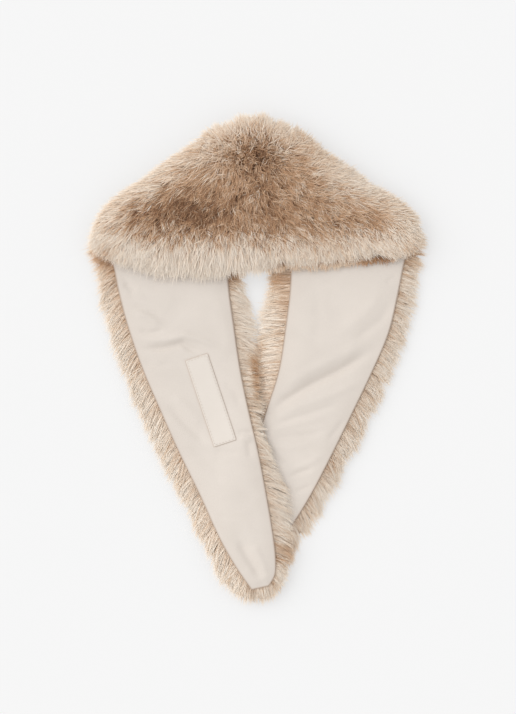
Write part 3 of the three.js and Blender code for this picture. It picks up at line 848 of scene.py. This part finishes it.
def patch_stitches(height):
    """Running stitches round the patch: each is a small bowed bead of thread, and all are one mesh."""
    half = np.array((PATCH["width"], PATCH["length"])) / 2 - STITCH["inset"]
    turns = np.array(((-1, -1), (1, -1), (1, 1), (-1, 1), (-1, -1))) * half
    corners, faces = [], []
    for start, end in zip(turns[:-1], turns[1:]):
        length = np.linalg.norm(end - start)
        count = int(length // (STITCH["length"] + STITCH["gap"]))
        step = (end - start) / count
        for k in range(count):
            middle = start + step * (k + 0.5)
            add_stitch(corners, faces, middle, step / np.linalg.norm(step), height)
    mesh = mesh_from("patch_stitches", np.array(corners), faces)
    return put("patch_stitches", mesh, thread_material())


def add_stitch(corners, faces, middle, along, height):
    """One stitch as rings of points round its bowed middle line, closed to a point at both ends."""
    across = np.array((-along[1], along[0]))
    first = len(corners)
    rings, sides = STITCH["rings"], STITCH["sides"]
    for ring in range(rings + 1):
        share = ring / rings * 2 - 1
        radius = STITCH["thick"] / 2 * np.sqrt(max(1 - share ** 2, STITCH_BOW["blunt"]))
        centre = middle + along * share * STITCH["length"] / 2
        x, y = patch_place(*centre)
        bow = STITCH_BOW["rise"] * (1 - share ** 2) - STITCH_BOW["sunk"]
        lift = height(x, y) + PATCH_LIFT + PATCH["thick"] + bow
        for side in range(sides):
            turn = 2 * np.pi * side / sides
            x, y = patch_place(*(centre + across * radius * np.cos(turn)))
            corners.append((x, y, lift + radius * np.sin(turn)))
    for ring in range(rings):
        for side in range(sides):
            low = first + ring * sides
            nearby = (side + 1) % sides
            faces.append((low + side, low + nearby, low + sides + nearby, low + sides + side))
    faces.append(tuple(first + side for side in reversed(range(sides))))
    faces.append(tuple(first + rings * sides + side for side in range(sides)))


patch_nap = nap_material("patch_nap", PATCH_COLOURS, patch_scale=40, grain_scale=800)
left_suede_height = suede_height(left_suede)
patch = patch_panel(left_suede_height)
stitches = patch_stitches(left_suede_height)

# The back's suede faces down on the two fronts, and is folded from them at the shoulders. It shows only
# from underneath, through the neck.

suede_panel("back", -1)

# The collar is the back's fur, hair up and outermost. It is long and tousled, combed out from the middle
# of the neck. It is dark brown where it parts in the middle, and cream towards its rim and its lower edge.

UNDER_COLLAR = ["fur_front_right", "suede_front_right", "fur_front_left", "suede_front_left", "suede_back"]
COLLAR_UNDERCOAT = {"inset": 15, "lower_inset": 24, "rim_drop": 6.5, "drop": 9, "lift": 2.5}
COLLAR_UNDERCOAT_TONE = {"plain": 0.03, "share": 1.1}
COLLAR_HAIR = {"hairs": 72000, "in_lock": 8, "pull": (0.1, 0.65), "width": 0.8, "pieces": 2}
COLLAR_LENGTH = {"shortest": (28, 20), "longest": (40, 28), "loose_less": 0.25}
COLLAR_RISE = {"plain": (20, 38), "whorl": 64, "own": 6, "lock": 8, "range": (4, 80)}
COLLAR_TURN = {"lock": 0.19, "middle_lock": 0.3, "loose_lock": 0.8, "own": 0.22, "loose_own": 0.4}
COLLAR_SWAY = {"turn": 0.45, "size": 11}
COLLAR_BEND = {"flow": 0.12, "sag": 0.22, "skin": 0.1, "lower_sag": 0.15, "lower": (140, 175)}
COLLAR_UNEVEN = {"least": -0.8, "more": 2.9, "rareness": 1.7}
COLLAR_SHINE = {"up": 0.6, "lower_up": 1.3, "lower": (150, 190)}
COLLAR_TONE = {"own": 0.1, "lock": 0.13, "pale_share": 0.35, "dark_share": 1.4}
COLLAR_TONE_STRAY = {"own": 6, "lock": 8}
COLLAR_BLOTCHES = table("more size seed", (0.05, 15, 2.2), (0.04, 7, 4.4))
RIM_WIDTH = (28, 70)
COMB_BLEND = {"near": 19, "power": -1.6, "agreed": (0.45, 0.95)}
COMBING = table(
    "x y angle",
    (-198, 238, 188), (-149, 266, 198), (-93, 294, 200), (-58, 324, 140), (-16, 333, 98), (22, 308, 62),
    (61, 301, 60), (103, 280, 48), (145, 252, 30), (180, 224, 18), (215, 203, 0), (222, 168, -38),
    (194, 168, -58), (159, 175, -62), (117, 161, -78), (61, 147, -86), (19, 137, -80), (-9, 133, -82),
    (-51, 140, -92), (-107, 147, -97), (-163, 161, -105), (-184, 189, -142), (-219, 168, -130),
    (-93, 238, -135), (-37, 224, -105), (12, 210, -65), (-2, 266, -78), (47, 224, -35), (89, 245, 0),
    (131, 217, -12), (75, 189, -50), (-66, 276, 222), (52, 280, 8), (-40, 306, 122), (-8, 314, 94),
    (-34, 270, -112), (30, 264, -42),
)
# Darker spots of the pelt in the middle of the collar, and painted shade at its two lower corners, (-212,
# 146) and (222, 150), where it meets the fronts.
COLLAR_DARK_AND_PAINTED_SHADE_SPOTS = table(
    "x y half_x half_y more",
    (-99, 204, 60, 20, 0.39), (-79, 198, 21, 11, 0.24), (-127, 214, 19, 12, 0.24),
    (-22, 294, 38, 19, 0.24), (18, 276, 26, 18, 0.12), (-61, 278, 20, 14, 0.12), (15, 212, 13, 50, 0.24),
    (89, 210, 14, 8, 0.06), (145, 193, 34, 9, 0.02), (107, 173, 9, 14, 0.2), (33, 169, 14, 10, 0.12),
    (62, 292, 34, 20, 0.14), (122, 236, 50, 24, -0.11), (-212, 146, 16, 12, 0.4),
    (222, 150, 16, 12, 0.34), (112, 142, 84, 26, 0.14),
)
PALE_RIM = {"pale": (0.11, -0.03), "middle": 0.52, "width": (12, 50), "lower": (160, 196), "lower_wider": 16}
PALE_RIM_SWAY = {"by": 5, "size": 19}
COLLAR_LONGER_SPOTS = table("x y half_x half_y more", (-75, 116, 95, 22, 6))
LOWER_EDGE = {"below": 190, "half": 200, "places": 41, "nearest": 6}
FRINGE = {"hairs": 1900, "in_lock": 9, "from": 12, "to": 192, "inset": 15, "deeper": 5, "height": (20, 23.5)}
FRINGE_HAIR = {"reach": 14, "uneven": 2, "dip": (-0.12, 0.04), "pull": (0.1, 0.5), "tone": 0.08}
FRINGE_TURN = {"own": 0.25, "lock": 0.4}
FRINGE_ROOM = {"back": 7.5, "left": (2, 32), "right": (180, 196), "height": (24, 44)}
# Tones of the fringe along x: the darker roots at the collar's cut edge, deepened as painted shade under its
# lower edge.
FRINGE_SHADE_TONES = {
    "x": (12, 40, 62, 110, 140, 165, 186, 192),
    "tone": (0.2, 0.3, 0.32, 0.22, 0.5, 0.74, 0.78, 0.5),
}


def combed(places):
    """Which way the hair lies in plan, blended from the combing table, and how far its rows there agree."""
    rows = np.array([(row["x"], row["y"]) for row in COMBING], float)
    turns = np.radians([row["angle"] for row in COMBING])
    gaps = ((places[:, None, :2] - rows[None]) ** 2).sum(axis=2) + COMB_BLEND["near"] ** 2
    weights = gaps ** COMB_BLEND["power"]
    weights /= weights.sum(axis=1, keepdims=True)
    x, y = weights @ np.cos(turns), weights @ np.sin(turns)
    return np.arctan2(y, x), np.hypot(x, y)


def collar_tone(places):
    """How dark the collar is at a place: pale at the rim, tan in the middle, darker in the named spots, two
    of which are painted shade at its lower corners.
    """
    low = 1 - smooth_step(*PALE_RIM["lower"], places[:, 1])
    gap = plan_distance(places, collar_rim_tree) - PALE_RIM["lower_wider"] * low
    gap += PALE_RIM_SWAY["by"] * ripple(places, PALE_RIM_SWAY["size"], 1.1)
    pale = between(PALE_RIM["pale"], low)
    tone = between((pale, PALE_RIM["middle"]), smooth_step(*PALE_RIM["width"], gap))
    return tone + spotted(places, COLLAR_DARK_AND_PAINTED_SHADE_SPOTS) + blotched(places, COLLAR_BLOTCHES)


def collar_undercoat_tone(places):
    """How dark the underfur is at a place: a little darker than the guard hair over it."""
    return COLLAR_UNDERCOAT_TONE["share"] * collar_tone(places) + COLLAR_UNDERCOAT_TONE["plain"]


def collar_hair(random):
    """The collar's guard hair: it rises from the underfur and lies over in the way it is combed."""
    count = COLLAR_HAIR["hairs"]
    facing = unit(collar_areas)[:, 2]
    weights = np.linalg.norm(collar_areas, axis=1) * np.where(facing > -0.2, 1, 0.15)
    index, shares = scatter(collar_triangles, weights, count, random)
    roots = at(collar_sunk, index, shares)
    normals = unit(at(collar_normals, index, shares))
    leads = lock_leads(roots, COLLAR_HAIR["in_lock"], random)
    middle = smooth_step(*RIM_WIDTH, plan_distance(roots, collar_rim_tree))
    angle, agreed = combed(roots)
    loose = 1 - smooth_step(*COMB_BLEND["agreed"], agreed)
    own_turn = COLLAR_TURN["own"] + COLLAR_TURN["loose_own"] * loose
    lock_turn = COLLAR_TURN["lock"] + COLLAR_TURN["middle_lock"] * middle + COLLAR_TURN["loose_lock"] * loose
    lock_turn = random.normal(0, 1, count)[leads] * lock_turn
    own_turn = random.normal(0, 1, count) * own_turn
    sway = COLLAR_SWAY["turn"] * middle * ripple(roots, COLLAR_SWAY["size"], 0.9)
    turn = angle + lock_turn + own_turn + sway
    flow = np.column_stack([np.cos(turn), np.sin(turn), np.zeros(count)])
    rise = between((between(COLLAR_RISE["plain"], middle), COLLAR_RISE["whorl"]), loose)
    rise += random.normal(0, COLLAR_RISE["own"], count) + random.normal(0, COLLAR_RISE["lock"], count)[leads]
    rise = np.radians(np.clip(rise, *COLLAR_RISE["range"]))[:, None]
    start = unit(flow * np.cos(rise) + normals * np.sin(rise))
    bend = flow * COLLAR_BEND["flow"] - normals * COLLAR_BEND["skin"]
    lower = 1 - smooth_step(*COLLAR_BEND["lower"], roots[:, 1])
    bend[:, 2] -= COLLAR_BEND["sag"] + COLLAR_BEND["lower_sag"] * lower
    ends = between(COLLAR_LENGTH["shortest"], middle), between(COLLAR_LENGTH["longest"], middle)
    lengths = between(ends, random.random(count)) * (1 - COLLAR_LENGTH["loose_less"] * loose)
    return hair_paths(roots, start, bend, lengths), leads, normals


def fringe_room(tips):
    """How much shorter the pale hair is where the dark fringe, toned as painted shade, shows under the
    collar's lower edge.
    """
    across = smooth_step(*FRINGE_ROOM["left"], tips[:, 0])
    across *= 1 - smooth_step(*FRINGE_ROOM["right"], tips[:, 0])
    above = tips[:, 1] - np.interp(tips[:, 0], *lower_edge())
    return FRINGE_ROOM["back"] * across * (1 - smooth_step(*FRINGE_ROOM["height"], above))


def lower_edge():
    """The collar's lower edge in plan, as rising x places and the y at each."""
    edge = collar_rim[collar_rim[:, 1] < LOWER_EDGE["below"]]
    places = np.linspace(-LOWER_EDGE["half"], LOWER_EDGE["half"], LOWER_EDGE["places"])
    nearest = [np.argsort(np.abs(edge[:, 0] - x))[: LOWER_EDGE["nearest"]] for x in places]
    return places, [edge[near, 1].min() for near in nearest]


def fringe_hair(random):
    """The short hair of the collar's cut edge under the right half of its lower edge, toned dark: its darker
    roots, deepened as painted shade under that edge.
    """
    count = FRINGE["hairs"]
    x = random.uniform(FRINGE["from"], FRINGE["to"], count)
    y = np.interp(x, *lower_edge()) + FRINGE["inset"] + random.uniform(0, FRINGE["deeper"], count)
    roots = np.column_stack([x, y, random.uniform(*FRINGE["height"], count)])
    leads = lock_leads(roots, FRINGE["in_lock"], random)
    turn = -np.pi / 2 + random.normal(0, FRINGE_TURN["lock"], count)[leads]
    turn += random.normal(0, FRINGE_TURN["own"], count)
    start = np.column_stack([np.cos(turn), np.sin(turn), random.uniform(*FRINGE_HAIR["dip"], count)])
    lengths = FRINGE_HAIR["reach"] + random.normal(0, FRINGE_HAIR["uneven"], count)[leads]
    lengths += random.normal(0, FRINGE_HAIR["uneven"], count)
    pull = random.uniform(*FRINGE_HAIR["pull"], count)
    paths = laid_on(follow_leads(hair_paths(roots, start, start * 0, lengths), leads, pull), UNDER_COLLAR)
    tones = np.interp(x, FRINGE_SHADE_TONES["x"], FRINGE_SHADE_TONES["tone"])
    tones += random.normal(0, FRINGE_HAIR["tone"], count)
    tones += random.normal(0, FRINGE_HAIR["tone"], count)[leads]
    return paths, np.tile(tones[:, None], paths.shape[1]), np.tile((0.0, -0.4, 0.9), (count, 1))


collar_random = np.random.default_rng(21)
collar_corners, collar_triangles, collar_areas = collar_solid = solid_of("fur_back")
collar_normals = corner_normals(*collar_solid)
collar_rim = collar_corners[np.abs(collar_normals[:, 2]) < 0.4][:, :2]
collar_rim_tree = tree_of(collar_rim)
lower_side = np.maximum(-collar_normals[:, 1:2], 0)
collar_inset = between((COLLAR_UNDERCOAT["inset"], COLLAR_UNDERCOAT["lower_inset"]), lower_side)
collar_sunk = collar_corners - collar_normals * (1, 1, 0) * collar_inset
collar_middle = smooth_step(*RIM_WIDTH, plan_distance(collar_corners, collar_rim_tree))
collar_drop = between((COLLAR_UNDERCOAT["rim_drop"], COLLAR_UNDERCOAT["drop"]), collar_middle)
collar_sunk[:, 2] -= np.maximum(collar_normals[:, 2], 0) * collar_drop
collar_sunk[:, 2] += np.maximum(-collar_normals[:, 2], 0) * COLLAR_UNDERCOAT["lift"]
undercoat("underfur_collar", "fur_back", collar_sunk, collar_triangles, collar_undercoat_tone)
collar, leads, skin = collar_hair(collar_random)
count = len(collar)
collar = follow_leads(collar, leads, collar_random.uniform(*COLLAR_HAIR["pull"], count))
uneven = collar_random.random(count) ** COLLAR_UNEVEN["rareness"]
uneven = COLLAR_UNEVEN["more"] * uneven + COLLAR_UNEVEN["least"]
shorter = fringe_room(collar[:, -1]) - spotted(collar[:, -1], COLLAR_LONGER_SPOTS) * uneven
collar, inside = trimmed(collar, collar_solid, collar_random, shorter)
collar = laid_on(collar, UNDER_COLLAR)
astray = collar_random.normal(0, COLLAR_TONE_STRAY["own"], (count, 3))
astray += collar_random.normal(0, COLLAR_TONE_STRAY["lock"], (count, 3))[leads]
tones = np.stack([collar_tone(collar[:, step] + astray) for step in range(collar.shape[1])], axis=1)
own_tone = collar_random.normal(0, COLLAR_TONE["own"], count)
own_tone += collar_random.normal(0, COLLAR_TONE["lock"], count)[leads]
pale, dark = COLLAR_TONE["pale_share"], COLLAR_TONE["dark_share"]
tones += own_tone[:, None] * np.clip(pale + dark * tones, pale, dark)
collar, tones, skin = collar[inside], tones[inside], skin[inside]
fringe, fringe_tones, fringe_skin = fringe_hair(collar_random)
collar, tones = np.concatenate([collar, fringe]), np.concatenate([tones, fringe_tones])
ups = np.concatenate([skin, fringe_skin]) + (0, 0, COLLAR_SHINE["up"])
ups[:, 2] += COLLAR_SHINE["lower_up"] * (1 - smooth_step(*COLLAR_SHINE["lower"], collar[:, -1, 1]))
ups = unit(ups)
for k in range(COLLAR_HAIR["pieces"]):
    share = slice(k, None, COLLAR_HAIR["pieces"])
    piece_random = np.random.default_rng(30 + k)
    name, width = f"guard_hair_collar_{k + 1}", COLLAR_HAIR["width"]
    hair_piece(name, "fur_back", collar[share], ups[share], tones[share], width, piece_random)

# The table is a plain pale sheet of paper under a soft even studio light, a little stronger from the left.
# The camera looks straight down on the middle of the wrap.

TABLE_REACH = 20000
TABLE_SHADE = (241, 241, 241)
TABLE_OWN_LIGHT = 0.55
SKY_LIGHT = 0.81
LAMP = {"from": (-1, 0.45, 1.15), "spread": 70, "strength": 1.32}
CAMERA = {"x": 2.22, "y": 3.86, "height": 2380, "lens": 85, "film": 36}


def paper_material():
    """Paper that is partly bright by itself, as in an over-lit studio, so that its shadows are faint."""
    material, _, _, shader = plain_material("paper", roughness=0.9, specular=0.1)
    shade = linear(*TABLE_SHADE)
    lit = (*(value * (1 - TABLE_OWN_LIGHT) for value in shade[:3]), 1)
    preset(shader, {"Base Color": lit, "Emission Color": shade, "Emission Strength": TABLE_OWN_LIGHT})
    return material


paper_corners = TABLE_REACH * np.array([(-1, -1, 0), (1, -1, 0), (1, 1, 0), (-1, 1, 0)])
paper = mesh_from("paper", paper_corners, [(0, 1, 2, 3)])
paper.materials.append(paper_material())
show("table", paper)

world = bpy.data.worlds.new("studio")
world.use_nodes = True
preset(world.node_tree.nodes["Background"], {"Color": (1, 1, 1, 1), "Strength": SKY_LIGHT})
bpy.context.scene.world = world

lamp = bpy.data.lights.new("soft_box", "SUN")
lamp.energy = LAMP["strength"]
lamp.angle = np.radians(LAMP["spread"])
show("soft_box", lamp).rotation_euler = (-Vector(LAMP["from"])).to_track_quat("-Z", "Y").to_euler()

camera = bpy.data.cameras.new("camera")
camera.lens = CAMERA["lens"]
camera.sensor_fit = "VERTICAL"
camera.sensor_height = CAMERA["film"]
camera_stand = show("camera", camera)
camera_stand.location = (CAMERA["x"] * MM, CAMERA["y"] * MM, CAMERA["height"] * MM)
bpy.context.scene.camera = camera_stand
bpy.context.scene.view_settings.view_transform = "Standard"
